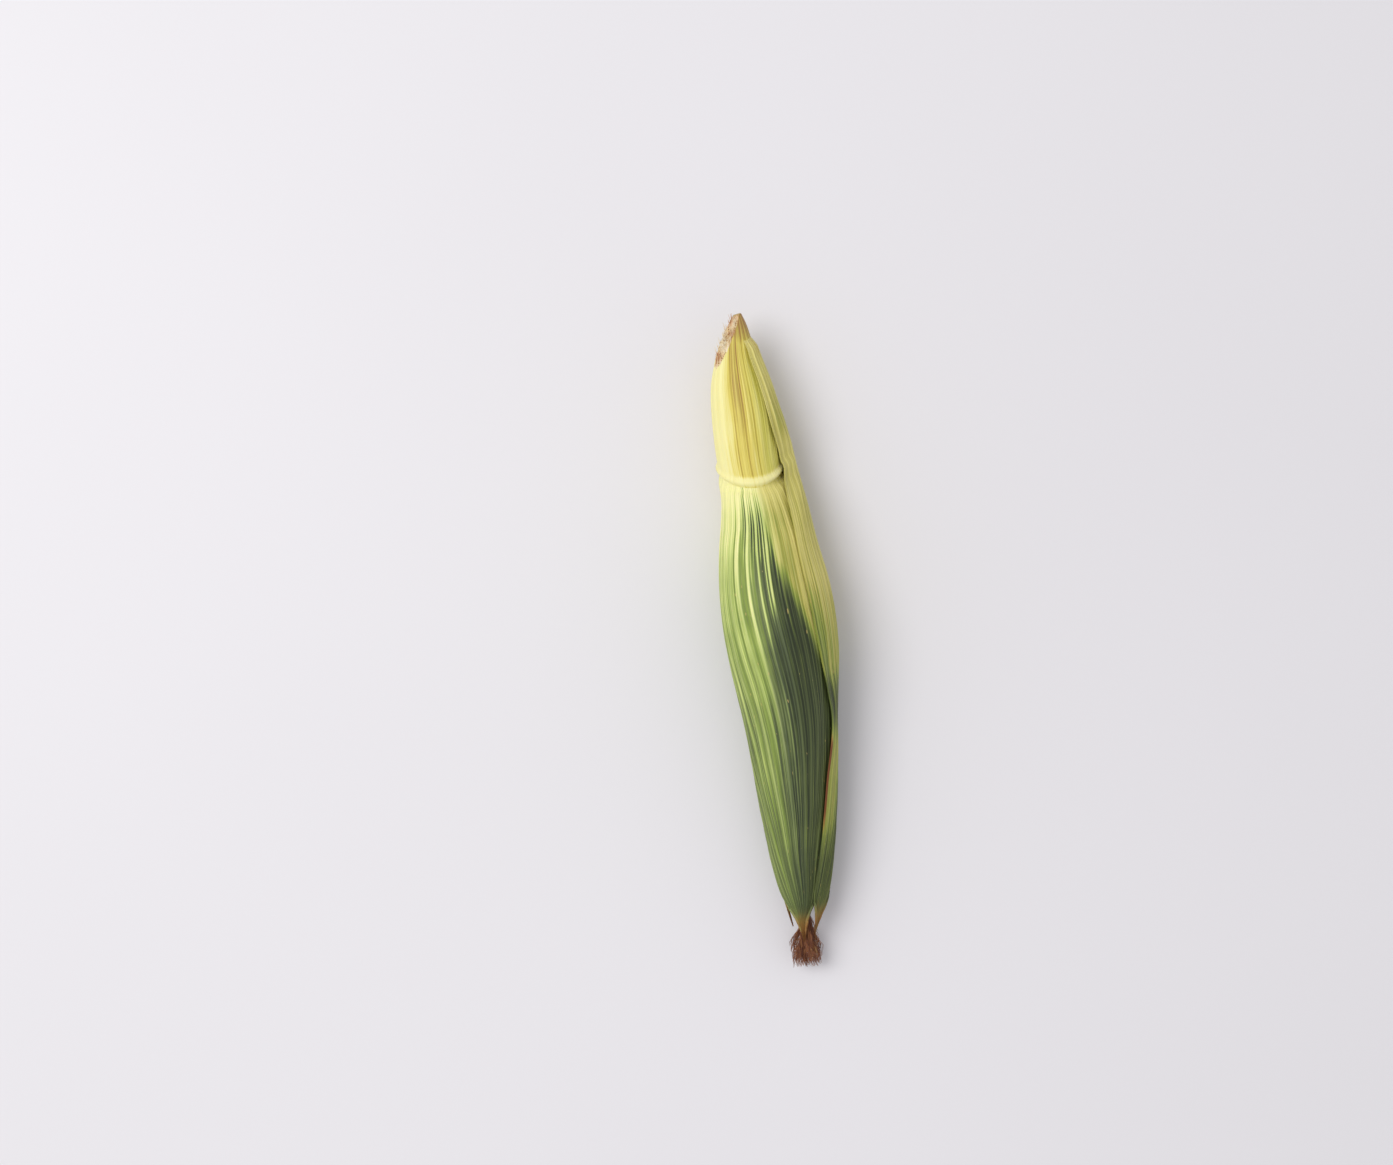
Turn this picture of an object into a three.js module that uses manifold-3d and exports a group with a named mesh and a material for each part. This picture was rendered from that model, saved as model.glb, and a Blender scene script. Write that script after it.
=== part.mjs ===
// An ear of corn in its husk, lying on its side.
//
// The ear lies along Y: the snapped end of its shank points to +Y and the silk to -Y, with +Z up.
// A place in the ear is given by s, the distance from the snapped end, and by an angle round the
// ear's middle line, in degrees from straight up towards +X. Millimetres throughout.

import * as THREE from 'three';
import { mergeVertices } from 'three/addons/utils/BufferGeometryUtils.js';
import Module from 'manifold-3d';

// ---------------------------------------------------------------- driving dimensions

const LEAF_TIPS_AT = 279;       // where the longest husk leaf ends
const SILK_END_AT = 291;        // the far end of the ear
const RING_AT = 75.3;           // the raised node ring, on the upper side
const RING_SLANT = 8.2;         // how far the ring leans towards the snapped end at each side
const RING_HEIGHT = 1.1;
const RING_HALF_WIDTH = 1.3;
const RING_SLANT_LENGTH = 18;   // the slant dies away this far from the ring
const RING_STEP = 1.6;          // how much slimmer the shank is past the ring
const RING_STEP_LENGTH = 4.5;
const SHANK_RIB_HEIGHT = 0.45;
const SNAP_SLOPE = [-0.78, 0.45, 0.38];   // the way that the snapped face looks
const GAP = 0.46;               // clearance between neighbouring pieces
const LEAF_THICKNESS = 0.7;
const RIB_HEIGHT = 0.36;        // ribs on the outside of the two outer leaves
const BASE_FLARE = 0.36;        // how fast a leaf leaves the shank, mm per mm
const EDGE_LIFT = 9;            // how far the outermost leaf stands off the shank, away from its edge
const EDGE_LIFT_ANGLE = 55;
const RING_CLIMB = 12;          // the stretch before the ring in which that leaf rises to pass over it
const TIP_CURL = 2;             // how far a leaf tip bends in, over its last stretch
const TIP_CURL_LENGTH = 24;
const TIP_FADE = 16;            // length over which a leaf settles past the tip of the one over it
const LAP_FADE = 50;            // degrees over which it settles beside the edge of the one over it
const LAP_MARGIN = 2;           // degrees past that edge at which it begins to settle
const KERNEL_ROWS = 12;
const KERNELS_IN_ROW = 26;
const KERNEL_HEIGHT = 1.3;
const COB_FROM = 94.5;
const COB_TO = 247;

// ---------------------------------------------------------------- curves along the ear

// A smooth curve through a few stations, each [s, value].
function along(stations) {
  const places = stations.map(([s]) => s);
  const values = stations.map(([, value]) => value);
  const curve = new THREE.CubicInterpolant(places, values, 1);
  return (s) => curve.evaluate(THREE.MathUtils.clamp(s, places[0], places.at(-1)))[0];
}

// The middle line: its sideways place and its height over the surface that the ear lies on.
const middleX = along([
  [0, -1.5], [20, -3.0], [45, -2.4], [70, -1.6], [90, 1.2], [110, 2.6],
  [135, 3.6], [170, 4.1], [210, 3.7], [245, 2.8], [270, 1.3], [291, 0.2],
]);
const middleZ = along([
  [0, 24.5], [40, 23], [75, 22], [100, 22.3], [130, 24.4], [150, 24.1],
  [180, 21.9], [220, 18.4], [260, 14.4], [291, 11.6],
]);

// How far the husk reaches from the middle line, to the left and to the right.
const reachLeft = along([
  [10, 8.6], [20, 11.7], [30, 14.4], [42, 16.0], [60, 16.4], [67, 16.2], [74, 15.6], [80, 16.0], [90, 18.6],
  [100, 21.1], [120, 24.4], [135, 25.2], [150, 24.6], [165, 22.9], [180, 21.2], [200, 19.3],
  [220, 17.2], [240, 14.6], [260, 11.0], [270, 8.6], [280, 5.8], [291, 3],
]);
const reachRight = along([
  [10, 8.6], [20, 11.7], [30, 14.4], [40, 16.2], [50, 18.2], [60, 19.9], [72, 20.9], [90, 21.3],
  [100, 22.0], [120, 24.5], [135, 25.2], [150, 24.7], [165, 23.0], [180, 21.2], [200, 19.3],
  [220, 17.2], [240, 14.6], [260, 11.0], [270, 8.6], [280, 5.8], [291, 3],
]);

const stalkRadiusAt = along([
  [0, 3.0], [5, 5.2], [12, 7.4], [20, 9.6], [30, 12.4], [42, 14.0], [55, 14.4],
  [66, 14.1], [76, 13.4], [94, 11.2],
]);
const cobRadiusAt = along([
  [94, 9.4], [100, 11.9], [112, 15.4], [130, 17.0], [150, 16.8], [170, 14.4],
  [200, 11.2], [225, 8.5], [240, 6.0], [247, 3.0],
]);

// ---------------------------------------------------------------- helpers

const cosine = (degrees) => Math.cos(THREE.MathUtils.degToRad(degrees));
const sine = (degrees) => Math.sin(THREE.MathUtils.degToRad(degrees));
const smoothstep = (x, from, to) => THREE.MathUtils.smoothstep(x, from, to);

// The smaller of two lengths, rounded where they cross.
function softMinimum(a, b, rounding = 0.6) {
  return -rounding * Math.log(Math.exp(-a / rounding) + Math.exp(-b / rounding));
}

// A point of the ear, from its place along it, its angle and its distance from the middle line.
function earPoint(angle, s, radius) {
  return new THREE.Vector3(
    middleX(s) + radius * sine(angle),
    -s,
    middleZ(s) + radius * cosine(angle),
  );
}

// The node ring slants: it lies nearer the snapped end at the sides and below.
const ringSlant = (angle) => RING_SLANT * (1 - cosine(angle));
const ringAt = (angle) => RING_AT - ringSlant(angle);

// The shank is slimmer past the ring, where the leaves grow from it.
const ringStep = (angle, s) => RING_STEP * smoothstep(s - ringAt(angle), 0, RING_STEP_LENGTH);

function shankRadius(angle, s) {
  return stalkRadiusAt(s) - ringStep(angle, s);
}

// The outside of the husk, from the middle line, before it is pressed flat on the surface below.
function roundReach(angle, s) {
  const left = reachLeft(s);
  const right = reachRight(s);
  return left + (right - left) * (1 + sine(angle)) / 2;
}

// How far a point under the ear can reach before it meets that surface.
function surfaceReach(angle, s) {
  const down = -cosine(angle);
  return down > 0 ? middleZ(s) / down : Infinity;
}

const huskReach = (angle, s) => Math.min(roundReach(angle, s), surfaceReach(angle, s));
const isPressed = (angle, s) => roundReach(angle, s) >= surfaceReach(angle, s);

function closed(geometry) {
  geometry.deleteAttribute('normal');
  geometry.deleteAttribute('uv');
  const merged = mergeVertices(geometry, 1e-4);
  merged.computeVertexNormals();
  return merged;
}

const wasm = await Module();
wasm.setup();

function solidOf(geometry) {
  return new wasm.Manifold(new wasm.Mesh({
    numProp: 3,
    vertProperties: new Float32Array(geometry.getAttribute('position').array),
    triVerts: new Uint32Array(geometry.index.array),
  }));
}

function geometryOf(solid) {
  const { vertProperties, triVerts } = solid.getMesh();
  const geometry = new THREE.BufferGeometry();
  geometry.setAttribute('position', new THREE.BufferAttribute(vertProperties, 3));
  geometry.setIndex(new THREE.BufferAttribute(triVerts, 1));
  geometry.computeVertexNormals();
  return geometry;
}

function piece(name, geometry, color, roughness) {
  const material = new THREE.MeshStandardMaterial({ color, roughness, metalness: 0 });
  const mesh = new THREE.Mesh(geometry, material);
  mesh.name = name;
  return mesh;
}

// ---------------------------------------------------------------- husk leaves

// Each leaf lies between two edges, given as angles along the ear. The first leaf is the outermost,
// and each next one lies under it. A leaf's base follows the slant of the node ring.
const leaves = [
  {
    name: 'husk_leaf_right',
    color: '#a9a553',
    ribs: true,
    columns: 36,
    base: 12,
    slant: 0.35,
    tip: 276,
    from: along([
      [12, 30], [30, 37], [50, 45], [67, 60], [84, 43], [102, 34], [120, 32.5], [155, 40],
      [182, 58], [208, 44], [230, 35], [252, 25], [268, 24], [276, 38],
    ]),
    to: along([[12, 185], [75, 195], [130, 222], [190, 200], [225, 162], [252, 116], [276, 64]]),
  },
  {
    name: 'husk_leaf_front',
    color: '#6f8f42',
    ribs: true,
    columns: 38,
    base: RING_AT + 2,
    slant: 1,
    tip: LEAF_TIPS_AT,
    from: along([[62, -150], [130, -158], [190, -135], [225, -108], [252, -80], [279, -28]]),
    to: along([[62, 84], [120, 76], [182, 88], [215, 74], [240, 54], [262, 36], [279, -4]]),
  },
  {
    name: 'husk_leaf_third',
    color: '#8ba04e',
    ribs: false,
    columns: 20,
    base: RING_AT + 7,
    slant: 0.76,
    tip: 271,
    from: along([[66, -36], [150, -30], [200, 5], [240, 45], [271, 94]]),
    to: along([[66, 226], [150, 222], [200, 196], [240, 168], [271, 122]]),
  },
  {
    name: 'husk_leaf_fourth',
    color: '#99aa58',
    ribs: false,
    columns: 20,
    base: RING_AT + 11,
    slant: 0.6,
    tip: 272,
    from: along([[68, -226], [150, -216], [200, -190], [240, -158], [272, -118]]),
    to: along([[68, 40], [150, 28], [200, 0], [240, -35], [272, -84]]),
  },
  {
    name: 'husk_leaf_fifth',
    color: '#aab868',
    ribs: false,
    columns: 20,
    base: RING_AT + 15,
    slant: 0.4,
    tip: 266,
    from: along([[68, 10], [150, 15], [200, 50], [235, 95], [266, 156]]),
    to: along([[68, 268], [150, 262], [200, 242], [235, 220], [266, 184]]),
  },
  {
    name: 'husk_leaf_inner',
    color: '#bcc47e',
    ribs: false,
    columns: 20,
    base: RING_AT + 18.6,
    slant: 0.25,
    tip: 259,
    from: along([[68, -172], [150, -165], [200, -135], [235, -95], [259, -42]]),
    to: along([[68, 84], [150, 78], [200, 50], [235, 20], [259, -18]]),
  },
];

const ribOf = (leaf) => (leaf.ribs ? RIB_HEIGHT : 0);
const pitchOf = (leaf) => LEAF_THICKNESS + ribOf(leaf) + GAP;
const baseOf = (leaf, angle) => leaf.base - leaf.slant * ringSlant(angle);

// 1 where a leaf lies, falling to 0 beyond its edges and its tip.
function presence(leaf, angle, s) {
  const from = leaf.from(s);
  const to = leaf.to(s);
  const middle = (from + to) / 2;
  const turned = THREE.MathUtils.euclideanModulo(angle - middle + 180, 360) - 180;
  const beyond = Math.abs(turned) - (to - from) / 2;
  const beside = smoothstep(beyond, LAP_MARGIN, LAP_MARGIN + LAP_FADE);
  const past = smoothstep(s, leaf.tip, leaf.tip + TIP_FADE);
  return (1 - beside) * (1 - past);
}

// How far the outermost leaf stands off the shank: it grows from below the node ring, passes over
// the ring and leans out beyond it, and only its edge stays close to the shank.
function outermostLift(angle, s) {
  const leaf = leaves[0];
  const past = s - ringAt(angle);
  const climb = pitchOf(leaf) * smoothstep(past, -2 - RING_CLIMB, -2);
  const lean = ringStep(angle, s) + BASE_FLARE * Math.max(0, past - 1);
  const fromEdge = EDGE_LIFT * smoothstep(angle - leaf.from(s), 0, EDGE_LIFT_ANGLE);
  return climb + lean + fromEdge;
}

// The outer face of a leaf, from the middle line: under the leaves over it, and near its base no
// further out than the shank lets it spring.
function leafReach(index, angle, s) {
  const leaf = leaves[index];
  const over = leaves.slice(0, index);
  const depth = over.reduce((sum, other) => sum + pitchOf(other) * presence(other, angle, s), 0);
  const curl = TIP_CURL * smoothstep(s, leaf.tip - TIP_CURL_LENGTH, leaf.tip);
  const husk = huskReach(angle, s) - depth - curl;
  const flare = BASE_FLARE * Math.max(0, s - baseOf(leaf, angle));
  const lift = index === 0 ? outermostLift(angle, s) : flare;
  return softMinimum(husk, shankRadius(angle, s) + pitchOf(leaf) + lift);
}

// A closed shell: a plane grid for the outside, the same grid turned over for the inside, both
// split into triangles alike, and a strip along each of the four edges between them.
function shell(columns, rows, place) {
  const across = columns + 1;
  const count = across * (rows + 1);
  const points = [];
  for (const side of [1, 0]) {
    for (let row = 0; row <= rows; row++) {
      for (let column = 0; column <= columns; column++) {
        points.push(place(column, row, side));
      }
    }
  }
  const index = [];
  const quad = (a, b, c, d) => index.push(a, b, c, a, c, d);
  const at = (column, row) => row * across + column;
  for (let row = 0; row < rows; row++) {
    for (let column = 0; column < columns; column++) {
      const corner = at(column, row);
      const right = at(column + 1, row);
      const far = at(column + 1, row + 1);
      const up = at(column, row + 1);
      quad(corner, up, far, right);
      index.push(corner + count, far + count, up + count);
      index.push(corner + count, right + count, far + count);
    }
  }
  const wall = (a, b) => quad(a, b, b + count, a + count);
  for (let column = 0; column < columns; column++) {
    wall(at(column, 0), at(column + 1, 0));
    wall(at(column + 1, rows), at(column, rows));
  }
  for (let row = 0; row < rows; row++) {
    wall(at(0, row + 1), at(0, row));
    wall(at(columns, row), at(columns, row + 1));
  }
  const geometry = new THREE.BufferGeometry().setFromPoints(points);
  geometry.setIndex(index);
  geometry.computeVertexNormals();
  return geometry;
}

// All leaves bend at the same places along the ear, so that they nest.
const END_MARGIN = 3;   // no bend lies nearer than this to a leaf's base or tip
const BENDS = [
  20, 29, 38, 47, 56, 64, 70, 76, 83, 91, 100, 111, 122, 134, 146, 157, 169, 182, 196, 210, 224,
  237, 249, 260, 270,
];

function huskLeaf(index) {
  const leaf = leaves[index];
  const bends = BENDS.filter((s) => s > leaf.base + END_MARGIN && s < leaf.tip - END_MARGIN);
  const stations = [leaf.base, ...bends, leaf.tip];
  const place = (column, row, side) => {
    const straight = stations[row];
    const share = column / leaf.columns;
    const angle = THREE.MathUtils.lerp(leaf.from(straight), leaf.to(straight), share);
    const s = row === 0 ? baseOf(leaf, angle) : straight;
    const reach = leafReach(index, angle, s);
    const groove = column % 2 === 0 && !isPressed(angle, s) ? ribOf(leaf) : 0;
    const inward = side === 1 ? groove : ribOf(leaf) + LEAF_THICKNESS;
    return earPoint(angle, s, reach - inward);
  };
  const body = shell(leaf.columns, stations.length - 1, place);
  return piece(leaf.name, body, leaf.color, 0.55);
}

// ---------------------------------------------------------------- shank and cob

// A round closed body along the ear: a cylinder whose vertices are moved. place gives each one
// its distance along the ear and from the middle line.
function roundBody(columns, rows, place) {
  const geometry = new THREE.CylinderGeometry(1, 1, 1, columns, rows);
  const position = geometry.getAttribute('position');
  for (let i = 0; i < position.count; i++) {
    const x = position.getX(i);
    const z = position.getZ(i);
    const row = Math.round((0.5 - position.getY(i)) * rows);
    const angle = THREE.MathUtils.radToDeg(Math.atan2(x, z));
    const { s, radius } = place(angle, row);
    const point = earPoint(angle, s, radius * Math.hypot(x, z));
    position.setXYZ(i, point.x, point.y, point.z);
  }
  return closed(geometry);
}

const SHANK_COLUMNS = 40;
const SHANK_RIBS_RISE = [9, 24];    // the ribs rise out of the snapped end over this stretch
const SHANK_RIBS_FALL = [62, 71];   // and fade before the node ring
const SHANK_STATIONS = [
  0, 2, 5, 9, 14, 20, 26, 33, 41, 49, 56, 62, 67, 71, RING_AT - RING_HALF_WIDTH, RING_AT,
  RING_AT + RING_HALF_WIDTH, RING_AT + 3, RING_AT + 6, 85, 89, 94,
];

function shankPlace(angle, row) {
  const straight = SHANK_STATIONS[row];
  const nearRing = (length) => Math.exp(-(((straight - RING_AT) / length) ** 2));
  const s = straight - ringSlant(angle) * nearRing(RING_SLANT_LENGTH);
  const ring = RING_HEIGHT * nearRing(RING_HALF_WIDTH);
  const column = Math.round(angle / (360 / SHANK_COLUMNS));
  const ribbed = smoothstep(straight, ...SHANK_RIBS_RISE) * (1 - smoothstep(straight, ...SHANK_RIBS_FALL));
  const groove = Math.abs(column) % 2 === 0 ? SHANK_RIB_HEIGHT * ribbed : 0;
  return { s, radius: shankRadius(angle, s) - groove + ring };
}

// The stalk was snapped off: its end is cut away by a slope that faces left, up and outwards.
function snapOff(geometry) {
  const size = 60;   // of the block cut away, larger than the whole end
  const slope = new THREE.Vector3(...SNAP_SLOPE).normalize();
  const block = closed(new THREE.BoxGeometry(size, size, size));
  const turn = new THREE.Quaternion().setFromUnitVectors(new THREE.Vector3(0, 0, 1), slope);
  const middle = earPoint(90, 0, 1).add(slope.clone().multiplyScalar(size / 2));
  block.applyQuaternion(turn).translate(middle.x, middle.y, middle.z);
  return geometryOf(solidOf(geometry).subtract(solidOf(block)));
}

// Kernels in rows along the cob: one hump to a kernel, with a groove all round it.
function cobPlace(angle, row) {
  const s = THREE.MathUtils.lerp(COB_FROM, COB_TO, row / (2 * KERNELS_IN_ROW));
  const acrossRow = Math.abs(sine(angle * KERNEL_ROWS / 2));
  const alongRow = Math.abs(sine(90 * row));
  const radius = cobRadiusAt(s) - KERNEL_HEIGHT * (1 - acrossRow * alongRow);
  return { s, radius };
}

// ---------------------------------------------------------------- silk

const SILK_STRANDS = 18;
const STRAND_RADIUS = 0.55;
const STRAND_LEAVES_CORE_AT = 263;
const SHORT_TIPS_AT = [273, 276];   // where strands come out below, past the shorter leaf tips
const TOP_LEAF_HALF_ANGLE = 55;     // within this angle they come out past the longest tips
const MOUTH_RADIUS = 1.3;           // all strands pass between the tips within this radius
const STRAND_SPREAD = [3, 7];       // how far from the middle line a strand ends, above
const STRAND_SPREAD_BELOW = [5, 9];
const STRAND_SWIRL = 40;            // degrees that a strand may turn round the ear as it spreads
const STRAND_WAVE = 0.8;
const SHORTEST_STRAND = 8;
const SILK_DROOP = 2;

// The bundle that the strands grow from, each entry [s, radius].
const SILK_CORE = [[249, 0.8], [256, 1.4], [263, 1.6], [270, 1.7], [275, 1.6], [280, 1.4], [285, 0.7]];

// The same strands on every run: a small seeded source of numbers from low to high.
function seededDraw(seed) {
  let state = seed;
  return (low, high) => {
    state = (state * 1664525 + 1013904223) % 4294967296;
    return low + (high - low) * state / 4294967296;
  };
}

// A thin three-sided cone bent along a wavy curve that runs out of the husk, spreads and droops.
function strand(angle, draw) {
  const above = Math.abs(angle) < TOP_LEAF_HALF_ANGLE;
  const outAt = above ? LEAF_TIPS_AT + 2 : draw(...SHORT_TIPS_AT);
  const end = THREE.MathUtils.lerp(outAt + SHORTEST_STRAND, SILK_END_AT, draw(0.4, 1));
  const spread = draw(...(above ? STRAND_SPREAD : STRAND_SPREAD_BELOW));
  const swirl = draw(-STRAND_SWIRL, STRAND_SWIRL);
  const wave = () => draw(-STRAND_WAVE, STRAND_WAVE);
  const points = [earPoint(angle, STRAND_LEAVES_CORE_AT, 0.8), earPoint(angle, outAt, MOUTH_RADIUS)];
  for (const part of [0.35, 0.7, 1]) {
    const out = THREE.MathUtils.lerp(MOUTH_RADIUS, spread, part);
    const point = earPoint(angle + swirl * part, THREE.MathUtils.lerp(outAt, end, part), out);
    points.push(point.add(new THREE.Vector3(wave(), 0, wave() - SILK_DROOP * part * part)));
  }
  const curve = new THREE.CatmullRomCurve3(points);
  const geometry = new THREE.CylinderGeometry(STRAND_RADIUS, 0.6 * STRAND_RADIUS, 1, 3, 6);
  const position = geometry.getAttribute('position');
  for (let i = 0; i < position.count; i++) {
    const middle = curve.getPoint(0.5 - position.getY(i));
    position.setXYZ(i, middle.x + position.getX(i), middle.y, middle.z + position.getZ(i));
  }
  return closed(geometry);
}

function silkTuft() {
  const draw = seededDraw(7);
  const core = roundBody(8, SILK_CORE.length - 1, (angle, row) => {
    const [s, radius] = SILK_CORE[row];
    return { s, radius };
  });
  const parts = [solidOf(core)];
  for (let i = 0; i < SILK_STRANDS; i++) {
    parts.push(solidOf(strand(360 * (i / SILK_STRANDS - 0.5), draw)));
  }
  return geometryOf(wasm.Manifold.union(parts));
}

// ---------------------------------------------------------------- the ear

const shank = snapOff(roundBody(SHANK_COLUMNS, SHANK_STATIONS.length - 1, shankPlace));
const cob = roundBody(2 * KERNEL_ROWS, 2 * KERNELS_IN_ROW, cobPlace);

const ear = new THREE.Group();
ear.add(
  piece('shank', shank, '#c6bc72', 0.65),
  piece('cob', cob, '#ead9a2', 0.45),
  ...leaves.map((leaf, index) => huskLeaf(index)),
  piece('silk', silkTuft(), '#6e3420', 0.7),
);

// The origin is under the middle of the ear, on the surface that it lies on.
const bounds = new THREE.Box3().setFromObject(ear);
const middle = bounds.getCenter(new THREE.Vector3());
ear.position.set(-middle.x, -middle.y, -bounds.min.z);

export default ear;
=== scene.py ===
# %% [markdown]
# # An ear of corn in its husk
# The ear lies on a pale table, as it was picked. At one end is the snapped shank with its raised
# node ring, at the other a tuft of dried silk, and between them six husk leaves are wrapped round
# a cob full of kernels. The frame that is loaded first holds plain solids of all these pieces.
# This notebook replaces each of them with a finer mesh of the same form, and gives each one the
# material that the real thing is made of.

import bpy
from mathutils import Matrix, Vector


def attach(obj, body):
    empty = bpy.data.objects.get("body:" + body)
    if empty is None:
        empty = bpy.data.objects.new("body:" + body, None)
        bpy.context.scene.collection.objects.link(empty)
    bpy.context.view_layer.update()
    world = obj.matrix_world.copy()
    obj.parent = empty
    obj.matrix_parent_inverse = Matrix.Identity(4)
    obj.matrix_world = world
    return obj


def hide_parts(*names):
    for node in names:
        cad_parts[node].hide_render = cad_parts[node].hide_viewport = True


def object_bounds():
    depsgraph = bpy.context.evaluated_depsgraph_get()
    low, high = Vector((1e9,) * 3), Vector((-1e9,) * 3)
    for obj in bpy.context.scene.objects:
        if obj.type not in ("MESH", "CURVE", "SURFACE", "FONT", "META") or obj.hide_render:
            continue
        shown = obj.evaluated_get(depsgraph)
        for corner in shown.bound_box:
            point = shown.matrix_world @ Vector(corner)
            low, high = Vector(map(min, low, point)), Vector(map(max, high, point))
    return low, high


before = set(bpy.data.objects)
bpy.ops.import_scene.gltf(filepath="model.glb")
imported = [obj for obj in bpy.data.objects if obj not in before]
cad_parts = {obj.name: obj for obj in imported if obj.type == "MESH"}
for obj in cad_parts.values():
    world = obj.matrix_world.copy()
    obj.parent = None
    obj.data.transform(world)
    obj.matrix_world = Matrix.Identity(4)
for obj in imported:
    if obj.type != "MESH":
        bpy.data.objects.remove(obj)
cad_low, cad_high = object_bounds()
print("the frame holds", ", ".join(sorted(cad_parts)))

# %% Libraries and units
import math
import random
from bisect import bisect_right
from functools import lru_cache

import bmesh
import bpy
from mathutils import Euler, Matrix, Vector, noise

MM = 0.001
print("the ear is", [round(side / MM, 1) for side in cad_high - cad_low], "mm")

# %% [markdown]
# ## Where a point of the ear lies
# Everything on an ear runs lengthwise, so its shapes are easier to write in the ear's own terms
# than in x, y and z. A point is given by s, the millimetres from the snapped end, by the angle
# round the middle line, in degrees from straight up towards the right, and by its distance from
# that line. One could instead sculpt the leaves, but then no two of them would nest. Formulas
# keep each leaf just under the one over it, all the way round.

# %% Smooth curves through a few stations
def along(stations):
    """A smooth curve through a few stations, each (place, value)."""
    places = [place for place, _ in stations]
    values = [value for _, value in stations]
    widths = [after - before for before, after in zip(places, places[1:])]
    secants = [(b - a) / width for a, b, width in zip(values, values[1:], widths)]
    inner_slopes = [(a + b) / 2 for a, b in zip(secants, secants[1:])]
    slopes = [secants[0], *inner_slopes, secants[-1]]

    @lru_cache(maxsize=None)
    def curve(place):
        place = min(max(place, places[0]), places[-1])
        i = min(bisect_right(places, place), len(places) - 1) - 1
        t = (place - places[i]) / widths[i]
        start = (2 * t**3 - 3 * t**2 + 1) * values[i] + (t**3 - 2 * t**2 + t) * widths[i] * slopes[i]
        end = (3 * t**2 - 2 * t**3) * values[i + 1] + (t**3 - t**2) * widths[i] * slopes[i + 1]
        return start + end

    return curve


def smoothstep(value, low, high):
    t = min(max((value - low) / (high - low), 0), 1)
    return t * t * (3 - 2 * t)


def stretch(value, places):
    """1 between the second place and the third, falling to 0 at the first and the last."""
    return smoothstep(value, *places[:2]) * (1 - smoothstep(value, *places[2:]))


def mix(a, b, share):
    return a + (b - a) * share


def sine(degrees):
    return math.sin(math.radians(degrees))


def cosine(degrees):
    return math.cos(math.radians(degrees))


print("half way up a smooth step is", smoothstep(0.5, 0, 1))

# %% The middle line and the reach of the husk
SNAPPED_END_Y = cad_high.y / MM
middle_x = along([
    (0, -5.1), (20, -6.6), (45, -6.0), (70, -5.2), (90, -2.4), (110, -1.0),
    (135, 0.0), (170, 0.5), (210, 0.1), (245, -0.8), (270, -2.3), (291, -3.4),
])
middle_z = along([
    (0, 24.5), (40, 23), (75, 22), (100, 22.3), (130, 24.4), (150, 24.1),
    (180, 21.9), (220, 18.4), (260, 14.4), (291, 11.6),
])
reach_left = along([
    (10, 8.6), (20, 11.7), (30, 14.4), (42, 16.0), (60, 16.4), (67, 16.2), (74, 15.6), (80, 16.0),
    (90, 18.6), (100, 21.1), (120, 24.4), (135, 25.2), (150, 24.6), (165, 22.9), (180, 21.2),
    (200, 19.3), (220, 17.2), (240, 14.6), (260, 11.0), (270, 8.6), (280, 5.8), (291, 3),
])
reach_right = along([
    (10, 8.6), (20, 11.7), (30, 14.4), (40, 16.2), (50, 18.2), (60, 19.9), (72, 20.9), (90, 21.3),
    (100, 22.0), (120, 24.5), (135, 25.2), (150, 24.7), (165, 23.0), (180, 21.2), (200, 19.3),
    (220, 17.2), (240, 14.6), (260, 11.0), (270, 8.6), (280, 5.8), (291, 3),
])
stalk_radius = along([
    (0, 3.0), (5, 5.2), (12, 7.4), (20, 9.6), (30, 12.4), (42, 14.0), (55, 14.4),
    (66, 14.1), (76, 13.4), (94, 11.2),
])
cob_radius = along([
    (94, 9.4), (100, 11.9), (112, 15.4), (130, 17.0), (150, 16.8), (170, 14.4),
    (200, 11.2), (225, 8.5), (240, 6.0), (247, 3.0),
])


def ear_point(angle, s, radius):
    """A point of the ear, in metres in the frame."""
    x = middle_x(s) + radius * sine(angle)
    z = middle_z(s) + radius * cosine(angle)
    return Vector((x, SNAPPED_END_Y - s, z)) * MM


print("the husk is widest at", round(2 * reach_left(135), 1), "mm")

# %% The node ring and the shank under the leaves
RING_AT = 75.3            # on the upper side
RING_SLANT = 8.2          # the ring leans towards the snapped end at the sides and below
RING_STEP = 1.6           # the shank is this much slimmer past the ring
RING_STEP_LENGTH = 4.5


def ring_slant(angle):
    return RING_SLANT * (1 - cosine(angle))


def ring_at(angle):
    return RING_AT - ring_slant(angle)


def ring_step(angle, s):
    return RING_STEP * smoothstep(s - ring_at(angle), 0, RING_STEP_LENGTH)


def shank_radius(angle, s):
    return stalk_radius(s) - ring_step(angle, s)


print("below, the ring lies at", round(ring_at(180), 1), "mm")

# %% The husk as a whole, with its shallow lengthwise folds
FOLD_DEPTH = 0.5
FOLD_WIDTH = 33           # degrees from one fold to the next
FOLD_SWAY = 14            # degrees to either side
FOLD_SWAY_TURNS = 1.9     # degrees of the sway's wave for each mm along the ear
FOLD_TWIST = 0.12         # degrees for each mm
FOLDED = (80, 112, 255, 280)      # along the ear, the folds rise and fade again


def folds(angle, s):
    """Shallow folds, the same in all leaves so that they nest. 0 on their crests."""
    drift = FOLD_SWAY * sine(FOLD_SWAY_TURNS * s) + FOLD_TWIST * s
    wave = (1 + cosine((angle + drift) * 360 / FOLD_WIDTH)) / 2
    uneven = 0.5 + noise.noise(Vector((angle / 40, s / 60, 3.1)))
    return FOLD_DEPTH * stretch(s, FOLDED) * wave * uneven


def husk_reach(angle, s):
    """How far the outermost leaf reaches, pressed flat where the ear lies on the table."""
    round_reach = mix(reach_left(s), reach_right(s), (1 + sine(angle)) / 2) - folds(angle, s)
    down = -cosine(angle)
    return min(round_reach, middle_z(s) / down) if down > 0 else round_reach


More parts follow.
